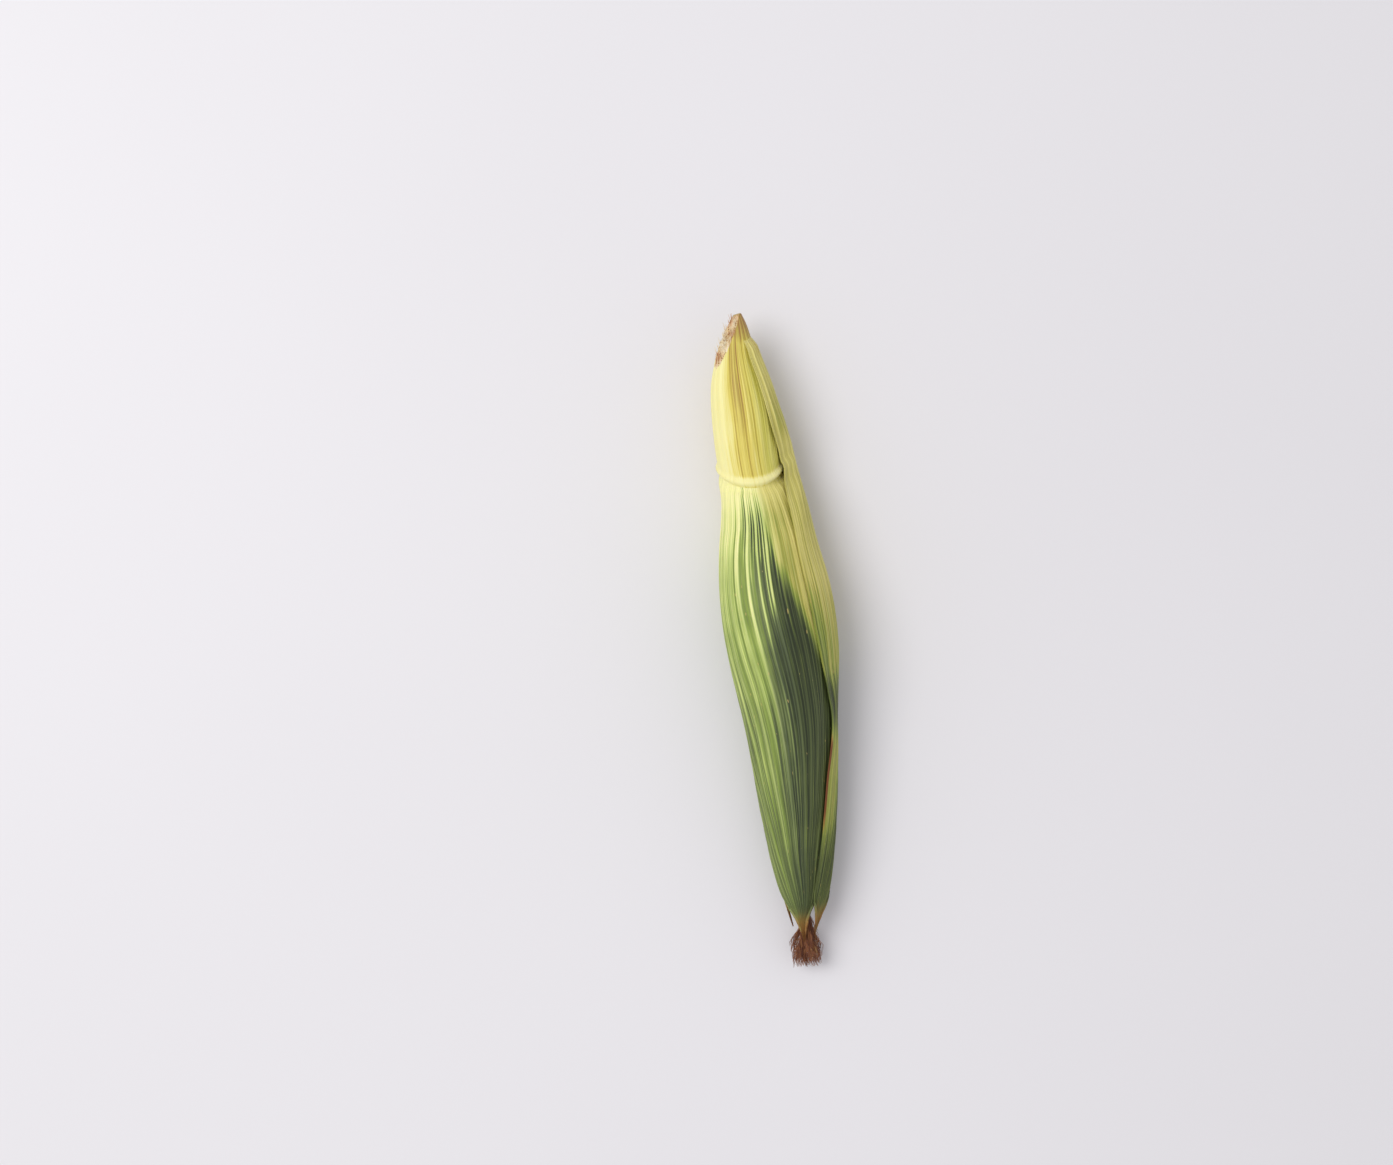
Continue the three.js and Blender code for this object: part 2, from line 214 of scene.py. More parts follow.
def soft_minimum(a, b, rounding=0.6):
    """The smaller of two lengths, rounded where they cross."""
    return -rounding * math.log(math.exp(-a / rounding) + math.exp(-b / rounding))


print("on top, half way along, it reaches", round(husk_reach(0, 145), 1), "mm")

# %% [markdown]
# ## Six husk leaves
# Husk leaves are the sheaths of leaves, so each grows from a node of the shank, wraps far round
# the ear, and narrows to a tip over the silk. They overlap like the coats of an onion. Here each
# leaf is only a pair of edges, as angles that change along the ear. The first one is the
# outermost, and the next ones lie under it, each a leaf's thickness further in.

# %% The leaves, from the outermost to the innermost
LEAF_THICKNESS = 0.7
RIB_HEIGHT = 0.36
GAP = 0.46                # clearance between two leaves

LEAVES = [
    {
        "name": "right_leaf", "node": "husk_leaf_right", "ribs": 18, "base": 12, "slant": 0.35,
        "tip": 276,
        "from": along([
            (12, 30), (30, 37), (50, 45), (67, 60), (84, 43), (102, 34), (120, 32.5), (155, 40),
            (182, 58), (208, 44), (230, 35), (252, 25), (268, 24), (276, 38),
        ]),
        "to": along([(12, 185), (75, 195), (130, 222), (190, 200), (225, 162), (252, 116), (276, 64)]),
    },
    {
        "name": "front_leaf", "node": "husk_leaf_front", "ribs": 19, "base": RING_AT + 0.4,
        "slant": 1, "tip": 279,
        "from": along([(62, -150), (130, -158), (190, -135), (225, -108), (252, -80), (279, -28)]),
        "to": along([(62, 84), (120, 76), (182, 88), (215, 74), (240, 54), (262, 36), (279, -4)]),
    },
    {
        "name": "third_leaf", "node": "husk_leaf_third", "ribs": 0, "base": RING_AT + 7,
        "slant": 0.76, "tip": 271,
        "from": along([(66, -36), (150, -30), (200, 5), (240, 45), (271, 94)]),
        "to": along([(66, 226), (150, 222), (200, 196), (240, 168), (271, 122)]),
    },
    {
        "name": "fourth_leaf", "node": "husk_leaf_fourth", "ribs": 0, "base": RING_AT + 11,
        "slant": 0.6, "tip": 272,
        "from": along([(68, -226), (150, -216), (200, -190), (240, -158), (272, -118)]),
        "to": along([(68, 40), (150, 28), (200, 0), (240, -35), (272, -84)]),
    },
    {
        "name": "fifth_leaf", "node": "husk_leaf_fifth", "ribs": 0, "base": RING_AT + 15,
        "slant": 0.4, "tip": 266,
        "from": along([(68, 10), (150, 15), (200, 50), (235, 95), (266, 156)]),
        "to": along([(68, 268), (150, 262), (200, 242), (235, 220), (266, 184)]),
    },
    {
        "name": "inner_leaf", "node": "husk_leaf_inner", "ribs": 0, "base": RING_AT + 18.6,
        "slant": 0.25, "tip": 259,
        "from": along([(68, -172), (150, -165), (200, -135), (235, -95), (259, -42)]),
        "to": along([(68, 84), (150, 78), (200, 50), (235, 20), (259, -18)]),
    },
]
print(len(LEAVES), "leaves, outermost first:", ", ".join(leaf["name"] for leaf in LEAVES))

# %% How deep a leaf lies under the others
LAP_MARGIN = 2            # degrees past an edge where the leaf below begins to settle
LAP_FADE = 50             # degrees over which it settles
TIP_FADE = 16


def pitch(leaf):
    """How much room a leaf takes between the one over it and the one under it."""
    return LEAF_THICKNESS + GAP + (RIB_HEIGHT if leaf["ribs"] else 0)


def presence(leaf, angle, s):
    """1 where a leaf lies, falling to 0 beyond its edges and its tip."""
    start, end = leaf["from"](s), leaf["to"](s)
    turned = (angle - (start + end) / 2 + 180) % 360 - 180
    beyond = abs(turned) - (end - start) / 2
    beside = smoothstep(beyond, LAP_MARGIN, LAP_MARGIN + LAP_FADE)
    past = smoothstep(s, leaf["tip"], leaf["tip"] + TIP_FADE)
    return (1 - beside) * (1 - past)


def depth(index, angle, s):
    return sum(pitch(over) * presence(over, angle, s) for over in LEAVES[:index])


print("the inner leaf lies", round(depth(5, 0, 140), 2), "mm deep on top of the ear")

# %% The outer face of a leaf
BASE_FLARE = 0.36         # mm that a leaf leaves the shank, for each mm along it
EDGE_LIFT = 9             # the outermost leaf stands this far off the shank, away from its edge
EDGE_LIFT_ANGLE = 55
RING_CLIMB = (-5.4, -1.4)         # mm from the node ring, where it rises over the ring
RING_LEAN = 0.4           # past the ring it makes up for this share of the shank's step
TIP_CURL = 2
TIP_CURL_LENGTH = 24


def leaf_base(leaf, angle):
    return leaf["base"] - leaf["slant"] * ring_slant(angle)


def outermost_lift(angle, s):
    """How far the outermost leaf stands off the shank, which it clasps from below the ring."""
    leaf = LEAVES[0]
    past = s - ring_at(angle)
    climb = pitch(leaf) * smoothstep(past, *RING_CLIMB)
    lean = RING_LEAN * ring_step(angle, s) + BASE_FLARE * max(0, past - 1)
    return climb + lean + EDGE_LIFT * smoothstep(angle - leaf["from"](s), 0, EDGE_LIFT_ANGLE)


def leaf_reach(index, angle, s):
    """How far the outer face of a leaf lies from the middle line."""
    leaf = LEAVES[index]
    curl = TIP_CURL * smoothstep(s, leaf["tip"] - TIP_CURL_LENGTH, leaf["tip"])
    husk = husk_reach(angle, s) - depth(index, angle, s) - curl
    flare = BASE_FLARE * max(0, s - leaf_base(leaf, angle))
    lift = outermost_lift(angle, s) if index == 0 else flare
    return soft_minimum(husk, shank_radius(angle, s) + pitch(leaf) + lift)


print("the front leaf reaches", round(leaf_reach(1, -30, 150), 1), "mm from the middle line")

# %% [markdown]
# ## Tools for materials and pieces
# Every finish here is a small network of nodes. One function adds a node, sets it and links its
# inputs, so that the cells below read as recipes. Colours are written as hex values, as a
# painter's chart gives them, and turned to the linear light that a shader counts in.

# %% One function for nodes and one for colours
MIX_FACTOR, MIX_A, MIX_B = 0, 6, 7        # inputs of a Mix node that mixes colours
NUMBER_A, NUMBER_B = 2, 3                 # and of one that mixes numbers
COLOURS = {"data_type": "RGBA"}           # settings that come up often
SMOOTH = {"interpolation_type": "SMOOTHSTEP"}


def linear(hex_colour):
    """An sRGB hex colour as linear red, green, blue and alpha."""
    channels = [int(hex_colour[i:i + 2], 16) / 255 for i in (1, 3, 5)]
    return (*[c / 12.92 if c <= 0.04045 else ((c + 0.055) / 1.055) ** 2.4 for c in channels], 1.0)


def add_node(tree, kind, settings=None, inputs=None, stops=None):
    """Adds a node. An input is given a value, a socket to link, or a node, whose first output in
    use is linked. A ramp is given its stops, each a place and a hex colour."""
    node = tree.nodes.new(kind)
    for name, value in (settings or {}).items():
        setattr(node, name, value)
    for socket, value in (inputs or {}).items():
        if isinstance(value, bpy.types.Node):
            value = next(output for output in value.outputs if output.enabled)
        if isinstance(value, bpy.types.NodeSocket):
            tree.links.new(value, node.inputs[socket])
        else:
            node.inputs[socket].default_value = value
    for number, (place, colour) in enumerate(stops or []):
        elements = node.color_ramp.elements
        element = elements[number] if number < 2 else elements.new(place)
        element.position = place
        element.color = linear(colour)
    return node


def new_material(name):
    """A material with no nodes yet, and its node tree."""
    material = bpy.data.materials.new(name)
    material.use_nodes = True
    material.node_tree.nodes.clear()
    return material, material.node_tree


def noise_along(tree, veins, width, length, settings):
    """Noise drawn out along the veins."""
    place = add_node(tree, "ShaderNodeMapping", None, {
        "Vector": veins, "Scale": (1 / width, 1 / length, 1)})
    return add_node(tree, "ShaderNodeTexNoise", {"noise_dimensions": "2D"}, {
        "Vector": place, "Scale": 1.0, **settings})


def add_skin(tree, values):
    """Ends a recipe with the surface that light falls on."""
    skin = add_node(tree, "ShaderNodeBsdfPrincipled", None, values)
    add_node(tree, "ShaderNodeOutputMaterial", None, {"Surface": skin})


print("cream in linear light is", [round(c, 3) for c in linear("#e8dfa0")])

# %% From a bmesh to a piece of the ear
def put_in_scene(name, data):
    thing = bpy.data.objects.new(name, data)
    bpy.context.scene.collection.objects.link(thing)
    return thing


def to_object(shape, name, material):
    """Turns a bmesh into an object with a material."""
    mesh = bpy.data.meshes.new(name)
    shape.to_mesh(mesh)
    shape.free()
    mesh.materials.append(material)
    return put_in_scene(name, mesh)


def make_piece(shape, name, material, node):
    """Turns a bmesh into a smooth piece that stands for a node of the frame."""
    piece = to_object(shape, name, material)
    piece.data.shade_smooth()
    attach(piece, "root")
    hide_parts(node)
    print(name, "has", len(piece.data.polygons), "faces")
    return piece


# %% [markdown]
# ## What a fresh husk is made of
# A husk leaf is a thin blade of long fibres with a waxy skin. It is cream where it grew in the
# dark, against the shank, and turns green towards its tip, where the sun reached it. The green
# comes in streaks, because each vein carries its own, and the veins stand out pale between
# them. The skin has a soft satin gloss. The recipe reads a map laid along the veins of each
# leaf, so that streaks bend and narrow with the leaf, and four values stored at its vertices: how
# green it is, how dry, how high its ribs stand, and how far it takes yellower, darker colours.

# %% Husk: fresh corn leaf, grown and not coated
STREAK_WIDTH = 1.5 * MM
STREAK_LENGTH = 70 * MM
FIBRE_WIDTH = 0.55 * MM
FIBRE_LENGTH = 45 * MM
BLOTCH_SIZE = 16 * MM
SPECK_WIDTH = 1.1 * MM
SPECK_LENGTH = 3.5 * MM

FRESH_BLADE = [                    # from what grew in the dark to what grew in the sun
    (0.0, "#f5f1a6"), (0.25, "#c9da78"), (0.5, "#94ac4e"), (0.75, "#5f703a"), (1.0, "#2c3722")]
FRESH_VEINS = [(0.0, "#f6f0b0"), (0.5, "#c6cf80"), (1.0, "#768458")]
YELLOWER_BLADE = [                # yellower and darker at the pale end, used on the right leaf and the front leaf's right side
    (0.0, "#e4da7e"), (0.25, "#c0b858"), (0.5, "#93a63e"), (0.75, "#5f7034"), (1.0, "#2f3a22")]
YELLOWER_VEINS = [(0.0, "#ece096"), (0.5, "#c2c472"), (1.0, "#7a864e")]
DRY_COLOURS = [(0.0, "#cdb36c"), (0.5, "#b5853f"), (1.0, "#7a461f")]

LEAF_VALUES = ("green", "dry", "crest", "yellow")     # stored at the vertices of a leaf


def husk_material(name, streak_share):
    material, tree = new_material(name)
    veins = add_node(tree, "ShaderNodeUVMap", {"uv_map": "veins"})
    place = add_node(tree, "ShaderNodeTexCoord").outputs["Object"]
    green, dry, crest, yellow = [
        add_node(tree, "ShaderNodeAttribute", {"attribute_name": value}).outputs["Fac"]
        for value in LEAF_VALUES]

    # Broad streaks along the veins, and the fibres between them.
    streaks = noise_along(tree, veins, STREAK_WIDTH, STREAK_LENGTH, {"Detail": 3.0, "Roughness": 0.6})
    fibres = noise_along(tree, veins, FIBRE_WIDTH, FIBRE_LENGTH, {"Detail": 2.0, "Roughness": 0.55})
    blotches = add_node(tree, "ShaderNodeTexNoise", None, {
        "Vector": place, "Scale": 1 / BLOTCH_SIZE, "Detail": 3.0})

    # How green: the leaf's own change from base to tip, broken up by the streaks.
    centred = add_node(tree, "ShaderNodeMath", {"operation": "SUBTRACT"}, {0: streaks, 1: 0.5})
    fade = add_node(tree, "ShaderNodeMapRange", SMOOTH, {
        "Value": green, "From Max": 0.35, "To Min": 0.15, "To Max": 1.0})
    streaky = add_node(tree, "ShaderNodeMath", {"operation": "MULTIPLY"}, {0: centred, 1: fade})
    shift = add_node(tree, "ShaderNodeMath", {"operation": "MULTIPLY_ADD"}, {
        0: streaky, 1: streak_share, 2: green})
    level = add_node(tree, "ShaderNodeMath", {"operation": "ADD", "use_clamp": True}, {
        0: shift,
        1: add_node(tree, "ShaderNodeMapRange", None, {
            "Value": blotches, "To Min": -0.12, "To Max": 0.12})})
    blade, vein = [
        add_node(tree, "ShaderNodeMix", COLOURS, {
            MIX_FACTOR: yellow,
            MIX_A: add_node(tree, "ShaderNodeValToRGB", None, {"Fac": level}, fresh),
            MIX_B: add_node(tree, "ShaderNodeValToRGB", None, {"Fac": level}, old),
        })
        for fresh, old in ((FRESH_BLADE, YELLOWER_BLADE), (FRESH_VEINS, YELLOWER_VEINS))]

    # Ribs and fibres stand out pale, and the grooves between them are a little darker: painted shade in
    # the grooves.
    fibre_share = add_node(tree, "ShaderNodeMapRange", SMOOTH, {
        "Value": fibres, "From Min": 0.5, "From Max": 0.75, "To Max": 0.55})
    crest_share = add_node(tree, "ShaderNodeMath", {"operation": "MULTIPLY"}, {0: crest, 1: 0.75})
    pale = add_node(tree, "ShaderNodeMath", {"operation": "MAXIMUM"}, {0: fibre_share, 1: crest_share})
    veined = add_node(tree, "ShaderNodeMix", COLOURS, {MIX_FACTOR: pale, MIX_A: blade, MIX_B: vein})
    # painted shade: this ramp darkens the grooves between the ribs, less where the leaf is still pale
    groove = add_node(tree, "ShaderNodeValToRGB", None, {"Fac": crest}, [
        (0.0, "#d8d8c8"), (0.4, "#ffffff")])
    groove_shade_share = add_node(tree, "ShaderNodeMapRange", None, {
        "Value": level, "From Max": 0.4, "To Min": 0.3, "To Max": 1.0})
    shaded = add_node(tree, "ShaderNodeMix", {**COLOURS, "blend_type": "MULTIPLY"}, {
        MIX_FACTOR: groove_shade_share, MIX_A: veined, MIX_B: groove})

    # Dried tissue, and small brown specks drawn out along the veins.
    speck_noise = noise_along(tree, veins, SPECK_WIDTH, SPECK_LENGTH, {"Scale": 0.8, "Detail": 1.0})
    specks = add_node(tree, "ShaderNodeMapRange", SMOOTH, {
        "Value": speck_noise, "From Min": 0.79, "From Max": 0.84, "To Max": 0.6})
    dry_edge = add_node(tree, "ShaderNodeMath", {"operation": "MULTIPLY_ADD"}, {
        0: centred, 1: 0.9, 2: dry})
    dried = add_node(tree, "ShaderNodeMapRange", SMOOTH, {
        "Value": dry_edge, "From Min": 0.25, "From Max": 0.85})
    brown_share = add_node(tree, "ShaderNodeMath", {"operation": "MAXIMUM"}, {0: specks, 1: dried})
    brown = add_node(tree, "ShaderNodeValToRGB", None, {"Fac": dry}, DRY_COLOURS)
    colour = add_node(tree, "ShaderNodeMix", COLOURS, {
        MIX_FACTOR: brown_share, MIX_A: shaded, MIX_B: brown})

    # The waxy skin is smoother on the ribs and dull where it has dried.
    roughness = add_node(tree, "ShaderNodeMapRange", None, {
        "Value": fibres, "To Min": 0.62, "To Max": 0.42})
    relief = add_node(tree, "ShaderNodeBump", None, {
        "Height": fibres, "Strength": 0.5, "Distance": 0.25 * MM})
    wrinkles = add_node(tree, "ShaderNodeBump", None, {
        "Height": blotches, "Normal": relief, "Strength": 0.35, "Distance": 1.5 * MM})
    add_skin(tree, {
        "Base Color": colour, "Roughness": roughness, "Normal": wrinkles, "IOR": 1.42,
        "Subsurface Weight": 0.12, "Subsurface Radius": (0.9, 1.0, 0.3),
        "Subsurface Scale": 1.0 * MM})
    print(name, "has", len(tree.nodes), "nodes")
    return material


outer_husk = husk_material("husk_fresh_outer_leaf", 1.0)
inner_husk = husk_material("husk_tender_inner_leaf", 0.5)

# %% [markdown]
# ## Where a leaf is green and where it has dried
# The colour of a leaf isn't a pattern that repeats: it tells how the leaf grew. The front leaf
# is cream at the node ring, and its green starts early on top and later to the right, where the
# right leaf shaded it. So each leaf has a curve that says how far along it turns green, for
# each angle, and another that says how green it gets. The right leaf's lapping edge has dried.

# %% Green and dry, for each leaf
VEINS_TO_A_RIB = 3
GREEN_FROM = {            # where the grooves of a leaf turn green
    "right_leaf": along([(30, 160), (60, 158), (100, 152), (185, 135)]),
    "front_leaf": along([
        (-150, 108), (-70, 98), (-44, 92), (-28, 83), (-8, 79), (0, 92), (5, 106), (10, 115),
        (23, 128), (34, 139), (44, 151), (55, 160), (72, 168),
    ]),
}
VEINS_GREEN_FROM = {      # the veins follow further along
    "right_leaf": along([(30, 166), (60, 164), (100, 158), (185, 143)]),
    "front_leaf": along([
        (-150, 120), (-70, 112), (-44, 112), (-28, 142), (-8, 142), (0, 126), (8, 119), (14, 122),
        (24, 132), (34, 143), (44, 155), (55, 164), (72, 172),
    ]),
}
GREEN_WITHIN = {          # half the length over which either turns
    "right_leaf": along([(30, 9), (80, 12), (185, 30)]),
    "front_leaf": along([(-150, 40), (-50, 28), (-28, 13), (-4, 12), (8, 16), (30, 13), (50, 9)]),
}
GREENEST = {
    "right_leaf": along([(30, 0.86), (90, 0.88), (185, 0.75)]),
    "front_leaf": along([
        (-150, 0.62), (-70, 0.52), (-36, 0.48), (-27, 0.52), (-18, 0.74), (-4, 0.92), (10, 1.02),
        (60, 1.03),
    ]),
}
GREENEST_AT_RING = along([        # of the first streaks of the front leaf
    (-60, 0.5), (-36, 0.58), (-24, 0.95), (-6, 0.92), (8, 0.72), (22, 0.6), (60, 0.6)])
LEAST_GREEN = {                   # of the front leaf by angle, and of the right leaf along it
    "front_leaf": along([(-40, 0.0), (-26, 0.14), (-6, 0.2), (10, 0.26), (60, 0.26)]),
    "right_leaf": along([
        (12, 0.05), (44, 0.05), (62, 0.1), (90, 0.2), (116, 0.16), (132, 0.3), (150, 0.36)]),
}
RAGGED = along([(-150, 5), (-40, 6), (-24, 11), (-2, 10), (8, 4), (180, 4)])
draw = random.Random(23)
EARLY_OR_LATE = [draw.uniform(-1, 1) for _ in range(60)]     # for each vein, times RAGGED mm
HIDDEN_GREEN = 0.75                       # of the leaves that are almost covered
HIDDEN_GREEN_ALONG = (120, 230)
RING_STREAKS_END = (90, 116)
LEAST_GREEN_FROM = (76, 92)
RIPE_GREEN = 0.95                         # towards the tip every green part grows darker
RIPENING = ((0.3, 158, 188), (0.28, 200, 262))      # by this share of the way, from s to s


def greenness(leaf, angle, s, across, crest):
    """How green the front or the right leaf is, before what only one of them has."""
    name = leaf["name"]
    in_groove, on_vein = GREEN_FROM[name](angle), VEINS_GREEN_FROM[name](angle)
    start = mix(in_groove, on_vein, smoothstep(crest, 0.03, 0.5))
    start += RAGGED(angle) * EARLY_OR_LATE[round(VEINS_TO_A_RIB * leaf["ribs"] * across)]
    within = GREEN_WITHIN[name](angle)
    greenest = GREENEST[name](angle)
    if name == "front_leaf":
        greenest = mix(GREENEST_AT_RING(angle), greenest, smoothstep(s, *RING_STREAKS_END))
    level = greenest * smoothstep(s, start - within, start + within)
    ripening = sum(share * smoothstep(s, low, high) for share, low, high in RIPENING)
    return mix(level, RIPE_GREEN, ripening * smoothstep(level, 0, 0.5))


print("the front leaf turns green at", round(GREEN_FROM["front_leaf"](0)), "mm on top")

# %% What only the right leaf has
DRY_EDGE = (182, 194, 219, 239)   # its lapping edge has dried from the second to the third
DRY_EDGE_WIDTH = (0.018, 0.045)   # as shares of the leaf's width, full and none
LIGHT_STRIP = (176, 194, 218, 250)        # beside it the leaf stayed light
LIGHT_STRIP_WIDTH = (0.17, 0.34)
LIGHT_STRIP_GREEN = 0.42
THIN_EDGE_GREEN = 0.22            # the dark leaf below shows through the lapping edge
THIN_EDGE_WIDTH = 0.12
THIN_EDGE_FROM = (104, 138)
PATCH_GREEN = 0.2                 # a green patch near the leaf's base
PATCH_AT, PATCH_SIZE = (44, 66), (14, 20)           # mm along the ear and degrees
DRY_TIP = (-24, 2)                # of every leaf, from its tip
DRY_BASE, DRY_BASE_TO = 0.4, (12, 34)
SHADED = (-8, 18)                 # the angles between which the front leaf turns yellower


def right_leaf_green(ripe, angle, s, across):
    strip = (1 - smoothstep(across, *LIGHT_STRIP_WIDTH)) * stretch(s, LIGHT_STRIP)
    off_s, off_angle = [(value - middle) / size for value, middle, size in zip(
        (s, angle), PATCH_AT, PATCH_SIZE)]
    patch = PATCH_GREEN * math.exp(-(off_s**2) - off_angle**2)
    thin_edge = THIN_EDGE_GREEN * (1 - smoothstep(across, 0, THIN_EDGE_WIDTH))
    thin_edge *= smoothstep(s, *THIN_EDGE_FROM) * (1 - strip)
    least = LEAST_GREEN["right_leaf"](s) + thin_edge
    return max(mix(ripe, LIGHT_STRIP_GREEN, strip), least) + patch


def leaf_colours(leaf, angle, s, across, crest):
    """How green, how dry, how high and how yellow a leaf is at one of its vertices."""
    dry = smoothstep(s, leaf["tip"] + DRY_TIP[0], leaf["tip"] + DRY_TIP[1])
    if not leaf["ribs"]:
        return HIDDEN_GREEN * smoothstep(s, *HIDDEN_GREEN_ALONG), dry, crest, 0.0
    green = greenness(leaf, angle, s, across, crest)
    if leaf["name"] == "front_leaf":
        green = max(green, LEAST_GREEN["front_leaf"](angle) * smoothstep(s, *LEAST_GREEN_FROM))
        return green, dry, crest, smoothstep(angle, *SHADED)
    edge = (1 - smoothstep(across, *DRY_EDGE_WIDTH)) * stretch(s, DRY_EDGE)
    base = DRY_BASE * (1 - smoothstep(s, *DRY_BASE_TO))
    return right_leaf_green(green, angle, s, across), max(dry, base, edge), crest, 1.0


print("the right leaf's edge has dried along", DRY_EDGE[2] - DRY_EDGE[1], "mm")

# %% [markdown]
# ## Making a leaf
# A leaf could be an extruded outline bent round the ear, but its ribs and its edge would then
# have to be added afterwards. Instead a flat grid is made, with four columns for each vein, and
# each of its vertices is moved to the place that the formulas give for it. The Solidify modifier
# then gives the sheet its thickness, inwards, and less of it at the edges.

# %% Ribs and edges
HIDDEN_VEINS = 40         # on the leaves that are almost covered
HIDDEN_RELIEF = 0.5       # and their height, as a share of the outer leaves'
SMALL_VEIN = 0.72         # height of the smaller veins, as a share of the ribs
VEIN_HEIGHT = (0.62, 0.95)        # the mean height of a vein, and how much it changes
EDGE_WAVE = 0.5           # degrees
EDGE_RISE = 0.35          # the outermost leaf's free edge stands up a little
EDGE_RISE_WIDTH = 0.035   # as a share of the leaf's width
TIP_POINT = 9             # a leaf's tip is this much longer in its middle than at its sides
ROOT_LENGTH = 6           # a leaf rises out of the shank along this stretch
ROOT_DEPTH = 0.3
BASE_SHARE = 0.12         # of a leaf's length, along which it follows the slant of the ring
TIP_SHARE = 0.14          # of a leaf's length, along which its point forms


def vein_height(leaf, across, s):
    """Height of the relief on a leaf, from 0 in the grooves to 1 on the tallest ribs."""
    ribs = leaf["ribs"] or HIDDEN_VEINS / VEINS_TO_A_RIB
    rib = ((1 - math.cos(2 * math.pi * ribs * across)) / 2) ** 4
    vein = ((1 - math.cos(2 * math.pi * VEINS_TO_A_RIB * ribs * across)) / 2) ** 2
    number = round(VEINS_TO_A_RIB * ribs * across)
    mean, change = VEIN_HEIGHT
    own = mean + change * noise.noise(Vector((number * 7.7, s / 90, leaf["tip"])))
    return min(max(rib, SMALL_VEIN * vein) * own, 1)


def leaf_vertex(index, across, down):
    """The place of a vertex, with its s, its angle and the height of the vein there."""
    leaf = LEAVES[index]
    straight = mix(leaf["base"], leaf["tip"], down)
    angle = mix(leaf["from"](straight), leaf["to"](straight), across)
    near_edge = (2 * across - 1) ** 8
    angle += EDGE_WAVE * near_edge * noise.noise(Vector((straight / 6, across * 9, leaf["tip"])))
    near_base = 1 - smoothstep(down, 0, BASE_SHARE)
    near_tip = smoothstep(down, 1 - TIP_SHARE, 1)
    s = straight - leaf["slant"] * ring_slant(angle) * near_base
    s -= TIP_POINT * near_tip * (2 * across - 1) ** 2
    crest = vein_height(leaf, across, s)
    relief = RIB_HEIGHT * (1 - crest) * (1 if leaf["ribs"] else HIDDEN_RELIEF)
    rise = EDGE_RISE * (1 - smoothstep(across, 0, EDGE_RISE_WIDTH)) if index == 0 else 0
    reach = leaf_reach(index, angle, s) - relief + rise
    rooted = smoothstep(s - leaf_base(leaf, angle), 0, ROOT_LENGTH)
    reach = mix(min(reach, shank_radius(angle, s) - ROOT_DEPTH), reach, rooted)
    return ear_point(angle, s, reach), s, angle, crest


turned = LEAVES[0]["to"](135) - LEAVES[0]["from"](135)
veins_there = VEINS_TO_A_RIB * LEAVES[0]["ribs"]
print("veins are", round(math.radians(turned) * reach_left(135) / veins_there, 1), "mm apart")

# %% The sheet of a leaf
LEAF_WIDTH = 100 * MM     # of the map along the veins, about a leaf's width at the widest
THIN_EDGE = 0.45          # the edge's thickness, as a share of the leaf's
THINS_WITHIN = 0.03       # of the leaf's width or length
ROWS, HIDDEN_ROWS = 150, 90
COLUMNS_TO_A_VEIN, HIDDEN_COLUMNS_TO_A_VEIN = 4, 2


def mapped_grid(columns, rows, length, names):
    """A flat grid with a map along the veins, and layers for the values of its vertices."""
    grid = bmesh.new()
    veins = grid.loops.layers.uv.new("veins")
    layers = [grid.verts.layers.float.new(name) for name in names]
    bmesh.ops.create_grid(grid, x_segments=columns, y_segments=rows, size=0.5, calc_uvs=True)
    for loop in (loop for face in grid.faces for loop in face.loops):
        across, up = loop[veins].uv
        loop[veins].uv = (across * LEAF_WIDTH, up * length)
    return grid, layers


def husk_leaf(index, columns, rows, material):
    leaf = LEAVES[index]
    sheet, layers = mapped_grid(columns, rows, (leaf["tip"] - leaf["base"]) * MM, LEAF_VALUES)
    thin = []
    for vertex in sheet.verts:
        across, down = vertex.co.x + 0.5, 0.5 - vertex.co.y
        vertex.co, s, angle, crest = leaf_vertex(index, across, down)
        for layer, value in zip(layers, leaf_colours(leaf, angle, s, across, crest)):
            vertex[layer] = value
        thin.append(smoothstep(min(across, 1 - across, 1 - down), 0, THINS_WITHIN))
    piece = make_piece(sheet, leaf["name"], material, leaf["node"])
    body = piece.vertex_groups.new(name="body")
    for number, share in enumerate(thin):
        body.add([number], share, "REPLACE")
    wall = piece.modifiers.new("thickness", "SOLIDIFY")
    wall.thickness = LEAF_THICKNESS * MM
    wall.offset = -1
    wall.vertex_group = "body"
    wall.thickness_vertex_group = THIN_EDGE


for index, leaf in enumerate(LEAVES):
    if leaf["ribs"]:
        columns = COLUMNS_TO_A_VEIN * VEINS_TO_A_RIB * leaf["ribs"]
        husk_leaf(index, columns, ROWS, outer_husk)
    else:
        columns = HIDDEN_COLUMNS_TO_A_VEIN * HIDDEN_VEINS
        husk_leaf(index, columns, HIDDEN_ROWS, inner_husk)

# %% [markdown]
# ## The shank
# The shank is the stalk that carried the ear. It is round and ribbed, swells to a raised pale
# ring at the node that the leaves grow from, and ends in a slope of torn fibres where it was
# snapped off the plant. It is made as a grid rolled into a tube. One cut with a plane takes the
# end away, and the rim of the cut is extruded inwards, ring by ring, into the torn face.

# %% Shape of the shank
SHANK_END = 94
SHANK_RIBS = 20
SHANK_RIB_HEIGHT = 0.45
RIBBED = (9, 24, 62, 73)  # the ribs rise out of the snapped end and fade before the node ring
RING_HEIGHT = 1.1
RING_HALF_WIDTH = 1.3
RING_SLANT_LENGTH = 18
RING_UNEVEN = 0.3
SMALL_RIB = 0.55          # height of the small ribs, as a share of the ribs
SHANK_RIB_MEAN = (0.75, 0.6)      # the mean height of a rib, and how much it changes
SMOOTH_ENDS = 0.25        # this share of the ribs' height is left where they fade


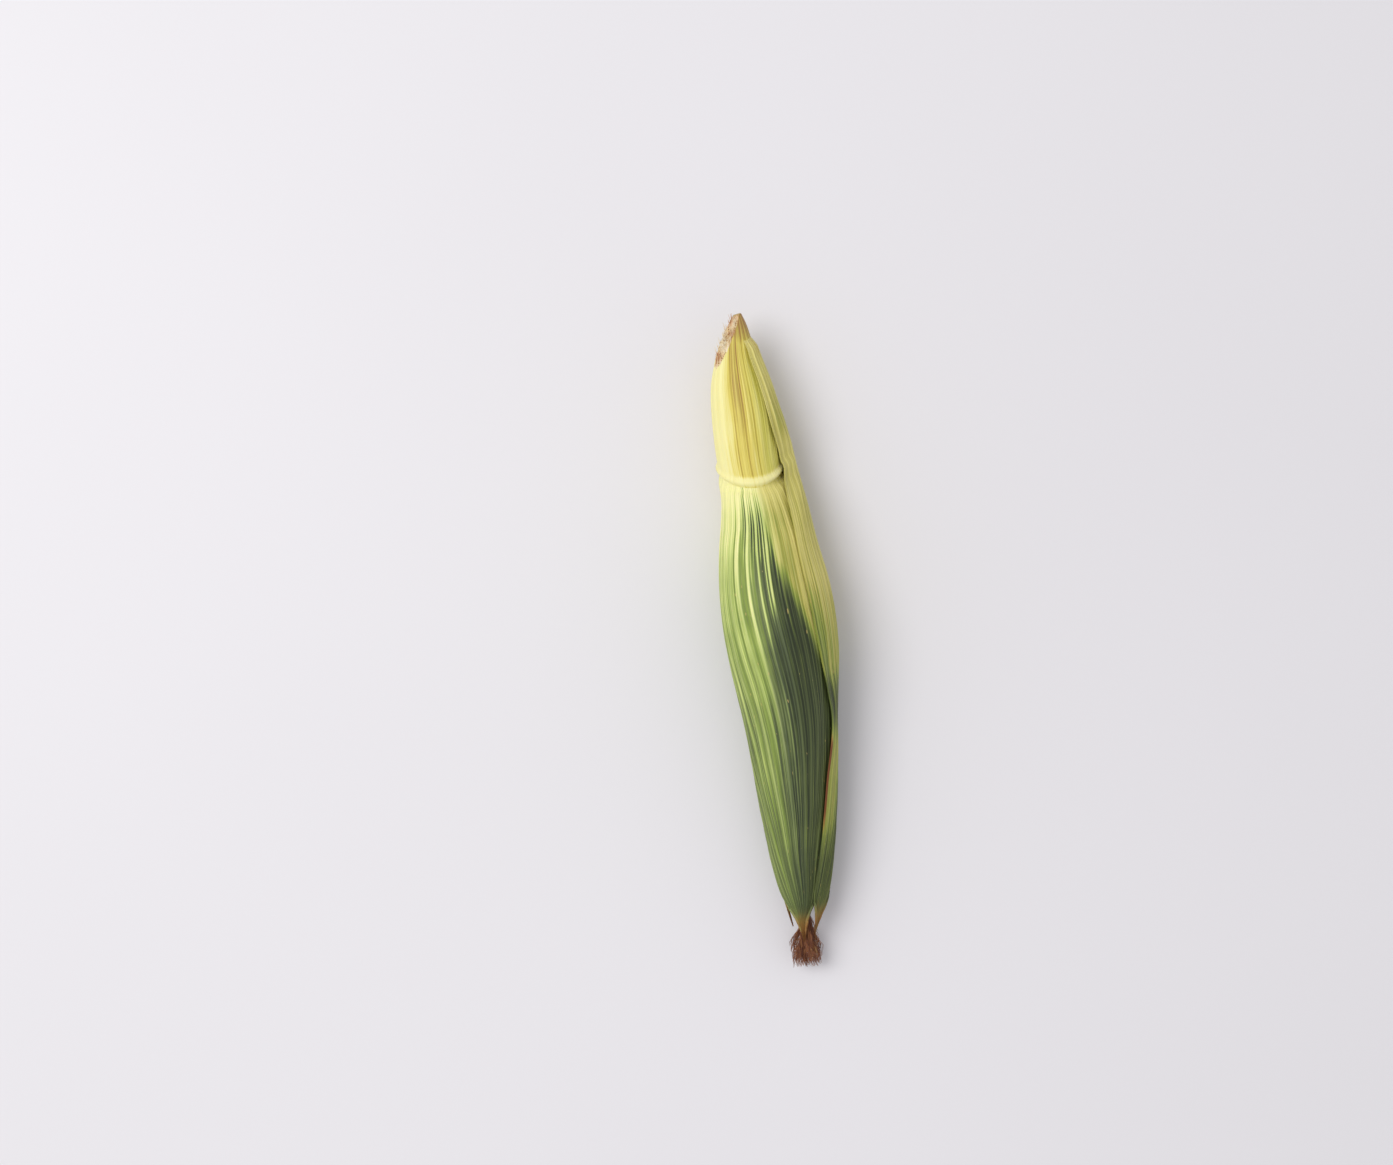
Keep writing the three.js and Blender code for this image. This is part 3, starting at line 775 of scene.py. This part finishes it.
def shank_vertex(turn, down):
    """A point of the tube, turn round it and down it, and how brown and how high it is."""
    angle = 360 * turn - 180
    straight = SHANK_END * down
    from_ring = abs(straight - RING_AT)
    s = straight - ring_slant(angle) * math.exp(-((from_ring / RING_SLANT_LENGTH) ** 2))
    rib = (1 - math.cos(2 * math.pi * SHANK_RIBS * turn)) / 2
    small_rib = (1 - math.cos(6 * math.pi * SHANK_RIBS * turn)) / 2
    mean, change = SHANK_RIB_MEAN
    own = mean + change * noise.noise(Vector((9 * turn * SHANK_RIBS, s / 35, 1.7)))
    crest = min(max(rib**2, SMALL_RIB * small_rib) * own, 1)
    ring = RING_HEIGHT * math.exp(-((from_ring / RING_HALF_WIDTH) ** 2))
    ring *= 1 + RING_UNEVEN * noise.noise(Vector((8 * turn, 2.3, 0.4)))
    groove = SHANK_RIB_HEIGHT * (1 - crest) * mix(SMOOTH_ENDS, 1, stretch(straight, RIBBED))
    place = ear_point(angle, s, shank_radius(angle, s) - groove + ring)
    return place, (brownness(angle, s), crest, 0, shank_light_and_green(angle, s))


print("the ribs are", round(2 * math.pi * stalk_radius(50) / SHANK_RIBS, 1), "mm apart")

# %% Where the shank is brown, and where green and painted lighter
SNAPPED_BROWN, SNAPPED_BROWN_TO = 0.95, (2, 22)
OCHRE, OCHRE_FROM = 0.3, (-37, -14)       # degrees: all but the left flank is ochre
OCHRE_WANDERS = 16                        # degrees
OCHRE_WIDENS, OCHRE_WIDENS_ALONG = 9, (48, 66)      # degrees to the left, before the ring
OCHRE_BELOW, OCHRE_BELOW_FROM = 0.2, (110, 150)
BAND, BAND_AT, BAND_WIDTH = 0.26, -9, 16  # a browner band along the top
BAND_FADES, BAND_FADES_ALONG = 0.75, (28, 60)
# the right flank has kept some green, and its colours are also painted lighter: painted light on the
# flank that the lamp leaves in shade
FLANK_LIGHT_AND_GREEN = 0.8                         # the right flank has kept some green
FLANK = (2, 42, 120, 160)                 # degrees
FLANK_LIGHT_AND_GREEN_FROM = (8, 30)
RING_STAYS_CREAM = (1.2, 3.2)             # mm to either side of the ring
RING_MIDDLE = -0.4                        # of the cream part, from the ring's crest


def beside_ring(angle, s):
    """0 on the node ring, and 1 beside it."""
    return smoothstep(abs(s - ring_at(angle) - RING_MIDDLE), *RING_STAYS_CREAM)


def brownness(angle, s):
    """How far the shank has browned: at its snapped end, and in a band along its top."""
    wander = OCHRE_WANDERS * noise.noise(Vector((angle / 5, s / 40, 6.2)))
    snapped = SNAPPED_BROWN * (1 - smoothstep(s, *SNAPPED_BROWN_TO))
    leftwards = OCHRE_WIDENS * smoothstep(s, *OCHRE_WIDENS_ALONG)
    ochre = OCHRE * smoothstep(angle + wander + leftwards, *OCHRE_FROM)
    ochre += OCHRE_BELOW * smoothstep(-angle, *OCHRE_BELOW_FROM)
    band = BAND * math.exp(-(((angle - BAND_AT) / BAND_WIDTH) ** 2))
    band *= 1 - BAND_FADES * smoothstep(s, *BAND_FADES_ALONG)
    return max(snapped, ochre + band) * beside_ring(angle, s)


# Real green and painted light: how far the right flank takes the green colours, which are painted
# lighter to light its shaded side.
def shank_light_and_green(angle, s):
    kept = FLANK_LIGHT_AND_GREEN * stretch(angle, FLANK) * smoothstep(s, *FLANK_LIGHT_AND_GREEN_FROM)
    return kept * beside_ring(angle, s)


print("30 mm from its end the top of the shank is brown by", round(brownness(0, 30), 2))

# %% A tube from a grid
def rolled_grid(columns, rows, names, vertex_values):
    """A grid rolled into a tube and joined along its seam, with a map and values on it."""
    tube, layers = mapped_grid(columns, rows, LEAF_WIDTH, names)
    for vertex in tube.verts:
        vertex.co, values = vertex_values(vertex.co.x + 0.5, 0.5 - vertex.co.y)
        for layer, value in zip(layers, values):
            vertex[layer] = value
    bmesh.ops.remove_doubles(tube, verts=tube.verts, dist=0.001 * MM)
    return tube


print("a tube's map is", LEAF_WIDTH / MM, "mm wide and long")

# %% Shank: dried stalk, snapped and not cut
STALK_GRAIN_WIDTH = 0.8 * MM
STALK_GRAIN_LENGTH = 40 * MM
STAIN_SIZE = 9 * MM
STALK_COLOURS = [(0.0, "#f4eeaa"), (0.3, "#dccb56"), (0.6, "#b09636"), (1.0, "#9a623c")]
# these greens are painted lighter than the stalk's own colour: painted light on the shaded right flank
LIGHTER_STALK_GREENS = [(0.0, "#e3e07e"), (0.5, "#c7c650"), (1.0, "#8f8834")]
BUNDLE_SPACING = 1.3 * MM         # of the fibre bundles that show in the torn face
TORN_COLOURS = [(0.32, "#c9966a"), (0.5, "#e8d2a6"), (0.66, "#f6edd2")]
BUNDLE_COLOURS = [(0.1, "#9c6c40"), (0.24, "#d8b985"), (0.38, "#ffffff")]

SHANK_VALUES = ("brown", "crest", "torn", "green")    # stored at the vertices of the shank

stalk, tree = new_material("shank_dried_stalk")
veins = add_node(tree, "ShaderNodeUVMap", {"uv_map": "veins"})
place = add_node(tree, "ShaderNodeTexCoord").outputs["Object"]
brown, crest, torn, green = [
    add_node(tree, "ShaderNodeAttribute", {"attribute_name": value}).outputs["Fac"]
    for value in SHANK_VALUES]
grain = noise_along(
    tree, veins, STALK_GRAIN_WIDTH, STALK_GRAIN_LENGTH, {"Detail": 3.0, "Roughness": 0.6})
stains = add_node(tree, "ShaderNodeTexNoise", None, {
    "Vector": place, "Scale": 1 / STAIN_SIZE, "Detail": 3.0})
grain_shift = add_node(tree, "ShaderNodeMapRange", None, {
    "Value": grain, "To Min": -0.75, "To Max": 0.75})
stain_shift = add_node(tree, "ShaderNodeMapRange", None, {
    "Value": stains, "To Min": -0.1, "To Max": 0.1})
groove_shift = add_node(tree, "ShaderNodeMapRange", SMOOTH, {
    "Value": crest, "From Max": 0.4, "To Min": 0.42, "To Max": -0.05})
shift = add_node(tree, "ShaderNodeMath", {"operation": "ADD"}, {0: grain_shift, 1: stain_shift})
shift = add_node(tree, "ShaderNodeMath", {"operation": "ADD"}, {0: shift, 1: groove_shift})
share = add_node(tree, "ShaderNodeMapRange", None, {
    "Value": brown, "From Max": 0.75, "To Min": 0.18, "To Max": 1.0})
level = add_node(tree, "ShaderNodeMath", {"operation": "MULTIPLY_ADD", "use_clamp": True}, {
    0: shift, 1: share, 2: brown})
dry_bark = add_node(tree, "ShaderNodeValToRGB", None, {"Fac": level}, STALK_COLOURS)
# painted light: the green bark of the right flank is lighter than the stalk's own colour
greener_lighter_bark = add_node(tree, "ShaderNodeValToRGB", None, {"Fac": level}, LIGHTER_STALK_GREENS)
bark = add_node(tree, "ShaderNodeMix", COLOURS, {MIX_FACTOR: green, MIX_A: dry_bark, MIX_B: greener_lighter_bark})
crest_share = add_node(tree, "ShaderNodeMath", {"operation": "MULTIPLY"}, {0: crest, 1: 0.4})
ribbed = add_node(tree, "ShaderNodeMix", COLOURS, {
    MIX_FACTOR: crest_share, MIX_A: bark, MIX_B: linear("#ecdf86")})
pith = add_node(tree, "ShaderNodeValToRGB", None, {"Fac": stains}, TORN_COLOURS)
bundle_at = add_node(tree, "ShaderNodeTexVoronoi", None, {"Vector": place, "Scale": 1 / BUNDLE_SPACING})
bundles = add_node(tree, "ShaderNodeValToRGB", None, {"Fac": bundle_at}, BUNDLE_COLOURS)
torn_pith = add_node(tree, "ShaderNodeMix", {**COLOURS, "blend_type": "MULTIPLY"}, {
    MIX_FACTOR: 1.0, MIX_A: pith, MIX_B: bundles})
colour = add_node(tree, "ShaderNodeMix", COLOURS, {MIX_FACTOR: torn, MIX_A: ribbed, MIX_B: torn_pith})
roughened = add_node(tree, "ShaderNodeMix", {"data_type": "FLOAT"}, {
    MIX_FACTOR: torn, NUMBER_A: grain, NUMBER_B: bundle_at})
relief = add_node(tree, "ShaderNodeBump", None, {
    "Height": roughened, "Strength": 0.6, "Distance": 0.3 * MM})
add_skin(tree, {
    "Base Color": colour, "Roughness": 0.55, "Normal": relief, "IOR": 1.45,
    "Subsurface Weight": 0.08, "Subsurface Radius": (1.0, 0.8, 0.3),
    "Subsurface Scale": 1.0 * MM})
print(stalk.name, "has", len(tree.nodes), "nodes")

# %% The tube, snapped off
SNAP_SLOPE = Vector((-0.78, 0.45, 0.38)).normalized()
SNAP_AT = ear_point(90, 0, 1)


def loose_edges(parts):
    return [part for part in parts if isinstance(part, bmesh.types.BMEdge)]


def loose_corners(parts):
    return [part for part in parts if isinstance(part, bmesh.types.BMVert)]


shank = rolled_grid(12 * SHANK_RIBS, 120, SHANK_VALUES, shank_vertex)
bmesh.ops.holes_fill(shank, edges=shank.edges)
cut = bmesh.ops.bisect_plane(
    shank, geom=[*shank.verts, *shank.edges, *shank.faces], dist=0.001 * MM,
    plane_co=SNAP_AT, plane_no=SNAP_SLOPE, clear_outer=True)
rim = loose_edges(cut["geom_cut"])
heart = sum((corner.co for corner in loose_corners(cut["geom_cut"])), Vector())
heart /= len(loose_corners(cut["geom_cut"]))
print("the cut has", len(rim), "edges")

# %% The torn face and its fibres
TORN_RINGS = 10
TORN_DEPTH = 0.9 * MM
TORN_GRAIN = 0.8 * MM
FIBRES = 110
FIBRE_RADIUS = 0.2 * MM
FIBRE_LENGTHS = (1.5 * MM, 5.5 * MM)

torn_store = shank.verts.layers.float["torn"]
torn_face = []
for ring in range(TORN_RINGS, 1, -1):
    grown = bmesh.ops.extrude_edge_only(shank, edges=rim)["geom"]
    fresh = loose_corners(grown)
    shrink = (ring - 1) / ring
    bmesh.ops.scale(
        shank, vec=(shrink, shrink, shrink), space=Matrix.Translation(-heart), verts=fresh)
    rim = [edge for edge in loose_edges(grown) if set(edge.verts) <= set(fresh)]
    torn_face += fresh
bmesh.ops.edgeloop_fill(shank, edges=rim)
for corner in torn_face:
    corner[torn_store] = 1
    corner.co.y += TORN_DEPTH * noise.noise(Vector((corner.co.x, 0, corner.co.z)) / TORN_GRAIN)
bmesh.ops.recalc_face_normals(shank, faces=shank.faces)

draw = random.Random(5)
for root in [draw.choice(torn_face).co.copy() for _ in range(FIBRES)]:
    length = min(draw.uniform(*FIBRE_LENGTHS), cad_high.y - root.y + FIBRE_LENGTHS[0])
    lean = Vector((draw.uniform(-0.25, 0.1), 1, draw.uniform(-0.1, 0.2)))
    turn = lean.to_track_quat("Z", "Y").to_matrix().to_4x4()
    fibre = bmesh.ops.create_cone(
        shank, cap_ends=True, segments=4, radius1=FIBRE_RADIUS, radius2=0.2 * FIBRE_RADIUS,
        depth=length, matrix=Matrix.Translation(root + lean * 0.3 * length) @ turn)
    for corner in fibre["verts"]:
        corner[torn_store] = 1
make_piece(shank, "snapped_shank", stalk, "shank")

# %% [markdown]
# ## The cob
# The cob is hidden while the husk is closed: a tapering core set with rows of kernels. Each
# kernel could be a bead of its own, but hundreds of beads cost much and show nothing. Here the
# tube that makes the shank is used again, and a wave round it and a wave along it raise one
# rounded kernel where both are high.

# %% Kernels: waxy corn, glossy skin over a milky inside
KERNEL_ROWS = 12
KERNELS_IN_ROW = 26
KERNEL_HEIGHT = 1.3
COB_FROM, COB_TO = 94.5, 247
KERNEL_COLOURS = [                 # the first is the chaff between kernels
    (0.0, "#c9a763"), (0.35, "#e6d39b"), (1.0, "#f3ead0")]


def kernel_vertex(turn, down):
    s = mix(COB_FROM, COB_TO, down)
    across_row = abs(math.sin(math.pi * KERNEL_ROWS * turn))
    along_row = abs(math.sin(math.pi * KERNELS_IN_ROW * down))
    bulge = (across_row * along_row) ** 0.55
    number = Vector((math.floor(KERNEL_ROWS * turn), math.floor(KERNELS_IN_ROW * down), 0))
    own = 0.9 + 0.2 * noise.noise(number * 3.37)
    return ear_point(360 * turn - 180, s, cob_radius(s) - KERNEL_HEIGHT * (1 - bulge)), (bulge * own,)


kernel_skin, tree = new_material("kernels_waxy_corn")
plump = add_node(tree, "ShaderNodeAttribute", {"attribute_name": "plump"}).outputs["Fac"]
place = add_node(tree, "ShaderNodeTexCoord").outputs["Object"]
milky = add_node(tree, "ShaderNodeTexNoise", None, {
    "Vector": place, "Scale": 1 / (4 * MM), "Detail": 2.0})
milky_shift = add_node(tree, "ShaderNodeMapRange", None, {
    "Value": milky, "To Min": -0.2, "To Max": 0.2})
level = add_node(tree, "ShaderNodeMath", {"operation": "ADD", "use_clamp": True}, {
    0: plump, 1: milky_shift})
colour = add_node(tree, "ShaderNodeValToRGB", None, {"Fac": level}, KERNEL_COLOURS)
add_skin(tree, {
    "Base Color": colour, "Roughness": 0.3, "IOR": 1.45,
    "Subsurface Weight": 0.2, "Subsurface Radius": (1.0, 0.7, 0.3), "Subsurface Scale": 2.0 * MM})

cob = rolled_grid(8 * KERNEL_ROWS, 6 * KERNELS_IN_ROW, ("plump",), kernel_vertex)
bmesh.ops.holes_fill(cob, edges=cob.edges)
make_piece(cob, "kernels_on_cob", kernel_skin, "cob")

# %% [markdown]
# ## The silk
# Every kernel sends one thread of silk out past the tips of the leaves, to catch pollen. When
# it has done so, the silk dries to a reddish brown tuft, matted and curled. Each thread is a
# spline of a curve object, whose bevel makes it round, and the curve is then turned into a mesh.
# The threads are drawn thicker than real ones, which at a fifth of a millimetre wouldn't show.

# %% Silk: dried threads
LOCKS = 46                # dried threads cling together in locks
THREADS_IN_LOCK = 16
THREAD_RADIUS = 0.15
THREAD_POINTS = 16
SILK_FROM = 256
SILK_END_AT = 290
LEAF_TIPS_AT = 279
SHORT_TIPS_AT = 271
MOUTH_RADIUS = 1.9
SILK_SPREAD = (0.8, 8.0)
SILK_DROOP = 3.0
LOCK_CURL = 2.4
THREAD_CURL = 0.9
SILK_COLOURS = [(0.25, "#35180f"), (0.42, "#6d3a22"), (0.58, "#9c6136"), (0.75, "#c49a63")]


def wandering(place):
    """Smooth noise in all three directions, the same in every run."""
    return Vector([noise.noise(place + Vector((0, 0, 50 * axis))) for axis in range(3)])


def thread_points(lock, draw):
    """Points along one thread: straight between the leaf tips, then curling, out and down."""
    end = min(lock["end"] + draw.uniform(-3, 2), SILK_END_AT)
    angle = lock["angle"] + draw.gauss(0, 7)
    spread = lock["spread"] + draw.gauss(0, 0.7)
    root = MOUTH_RADIUS * math.sqrt(draw.random())
    seed = draw.uniform(0, 100)
    for step in range(THREAD_POINTS):
        s = mix(SILK_FROM, end, step / (THREAD_POINTS - 1))
        free = smoothstep(s, lock["out_at"] - 6, end)
        point = ear_point(angle + lock["swirl"] * free, s, mix(root, spread, free))
        curl = wandering(Vector((s / 7, lock["angle"], 5.2))) * LOCK_CURL * free
        curl += wandering(Vector((s / 5, seed, 0))) * THREAD_CURL * free
        point += (curl + Vector((0, 0, -SILK_DROOP * free**2))) * MM
        point.z = max(point.z, THREAD_RADIUS * MM)      # it rests on what the ear lies on
        yield point


draw = random.Random(11)
tuft = bpy.data.curves.new("silk_threads", "CURVE")
tuft.dimensions = "3D"
tuft.bevel_depth = THREAD_RADIUS * MM
tuft.bevel_resolution = 0
tuft.use_fill_caps = True
for number in range(LOCKS):
    angle = 360 * (number + draw.random()) / LOCKS - 180
    on_top = abs(angle) < 60
    out_at = LEAF_TIPS_AT - 2 if on_top else draw.uniform(SHORT_TIPS_AT, LEAF_TIPS_AT - 3)
    lock = {
        "angle": angle, "out_at": out_at, "end": mix(out_at + 6, SILK_END_AT, draw.random() ** 0.6),
        "spread": draw.uniform(*SILK_SPREAD), "swirl": draw.uniform(-60, 60),
    }
    for _ in range(THREADS_IN_LOCK):
        thread = tuft.splines.new("POLY")
        thread.points.add(THREAD_POINTS - 1)
        for step, (corner, place) in enumerate(zip(thread.points, thread_points(lock, draw))):
            corner.co = (*place, 1)
            corner.radius = 1 - 0.6 * step / THREAD_POINTS
print(len(tuft.splines), "threads")

# %% The tuft as a mesh, with its material
THREAD_TONE = 0.9 * MM            # threads this far apart differ in colour
THREAD_TONE_LENGTH = 9 * MM

silk_skin, tree = new_material("silk_dried_threads")
place = add_node(tree, "ShaderNodeTexCoord").outputs["Object"]
along_threads = add_node(tree, "ShaderNodeMapping", None, {
    "Vector": place,
    "Scale": (1 / THREAD_TONE, 1 / THREAD_TONE_LENGTH, 1 / THREAD_TONE)})
tufts = add_node(tree, "ShaderNodeTexNoise", None, {
    "Vector": along_threads, "Scale": 1.0, "Detail": 2.0, "Roughness": 0.6})
colour = add_node(tree, "ShaderNodeValToRGB", None, {"Fac": tufts}, SILK_COLOURS)
add_skin(tree, {
    "Base Color": colour, "Roughness": 0.55, "IOR": 1.5})

tuft_object = put_in_scene("silk_threads", tuft)
tuft_mesh = bpy.data.meshes.new_from_object(
    tuft_object.evaluated_get(bpy.context.evaluated_depsgraph_get()))
bpy.data.objects.remove(tuft_object)
silk = bmesh.new()
silk.from_mesh(tuft_mesh)
make_piece(silk, "silk_tuft", silk_skin, "silk")

# %% [markdown]
# ## The stage
# The ear lies on a pale table. A large soft lamp stands to its upper left, so that the left
# flanks are bright and the shadow falls to the right, and the whole room fills in the rest. The
# camera looks straight down.

# %% Table, lamp and room
TABLE_SIZE = 30.0
CLOUD_SIZE = 0.5          # the lacquer is hardly lighter in places, this far apart
LAMP_AT = Vector((-0.92, 0.5, 1.7))
LAMP_SIZE = 1.3
LAMP_POWER = 20.0
ROOM_LIGHT = 0.7

lacquer, tree = new_material("table_matt_lacquer")
place = add_node(tree, "ShaderNodeTexCoord").outputs["Object"]
clouds = add_node(tree, "ShaderNodeTexNoise", None, {"Vector": place, "Scale": 1 / CLOUD_SIZE})
tone = add_node(tree, "ShaderNodeValToRGB", None, {"Fac": clouds}, [(0.3, "#e4e2e4"), (0.7, "#e7e5e7")])
add_skin(tree, {
    "Base Color": tone, "Roughness": 0.7})

table_sheet = bmesh.new()
bmesh.ops.create_grid(table_sheet, x_segments=1, y_segments=1, size=TABLE_SIZE / 2)
table = to_object(table_sheet, "table", lacquer)

lamp_data = bpy.data.lights.new("soft_lamp", "AREA")
lamp_data.shape = "DISK"
lamp_data.size = LAMP_SIZE
lamp_data.energy = LAMP_POWER
lamp = put_in_scene("soft_lamp", lamp_data)
lamp.location = LAMP_AT
lamp.rotation_euler = (-LAMP_AT).to_track_quat("-Z", "Y").to_euler()

room = bpy.data.worlds.new("room")
room.use_nodes = True
walls = room.node_tree.nodes["Background"]
walls.inputs["Color"].default_value = linear("#f2f1f5")
walls.inputs["Strength"].default_value = ROOM_LIGHT
bpy.context.scene.world = room
bpy.context.scene.view_settings.view_transform = "Standard"
print("the lamp stands", round(LAMP_AT.length, 2), "m away")

# %% Camera
CAMERA_HEIGHT = 1.3
CAMERA_TURN = -6.165                      # degrees: the ear leans a little in the view
VIEW_CENTRE = Vector((-34.4, 29.8, 0)) * MM
VIEW_WIDTH = 612.9 * MM                   # at half the ear's height
EAR_MIDDLE = 24 * MM

camera_data = bpy.data.cameras.new("camera")
camera_data.lens = camera_data.sensor_width * (CAMERA_HEIGHT - EAR_MIDDLE) / VIEW_WIDTH
camera = put_in_scene("camera", camera_data)
camera.location = VIEW_CENTRE + Vector((0, 0, CAMERA_HEIGHT))
camera.rotation_euler = Euler((0, 0, math.radians(CAMERA_TURN)))
bpy.context.scene.camera = camera
print("the lens is", round(camera_data.lens, 1), "mm")
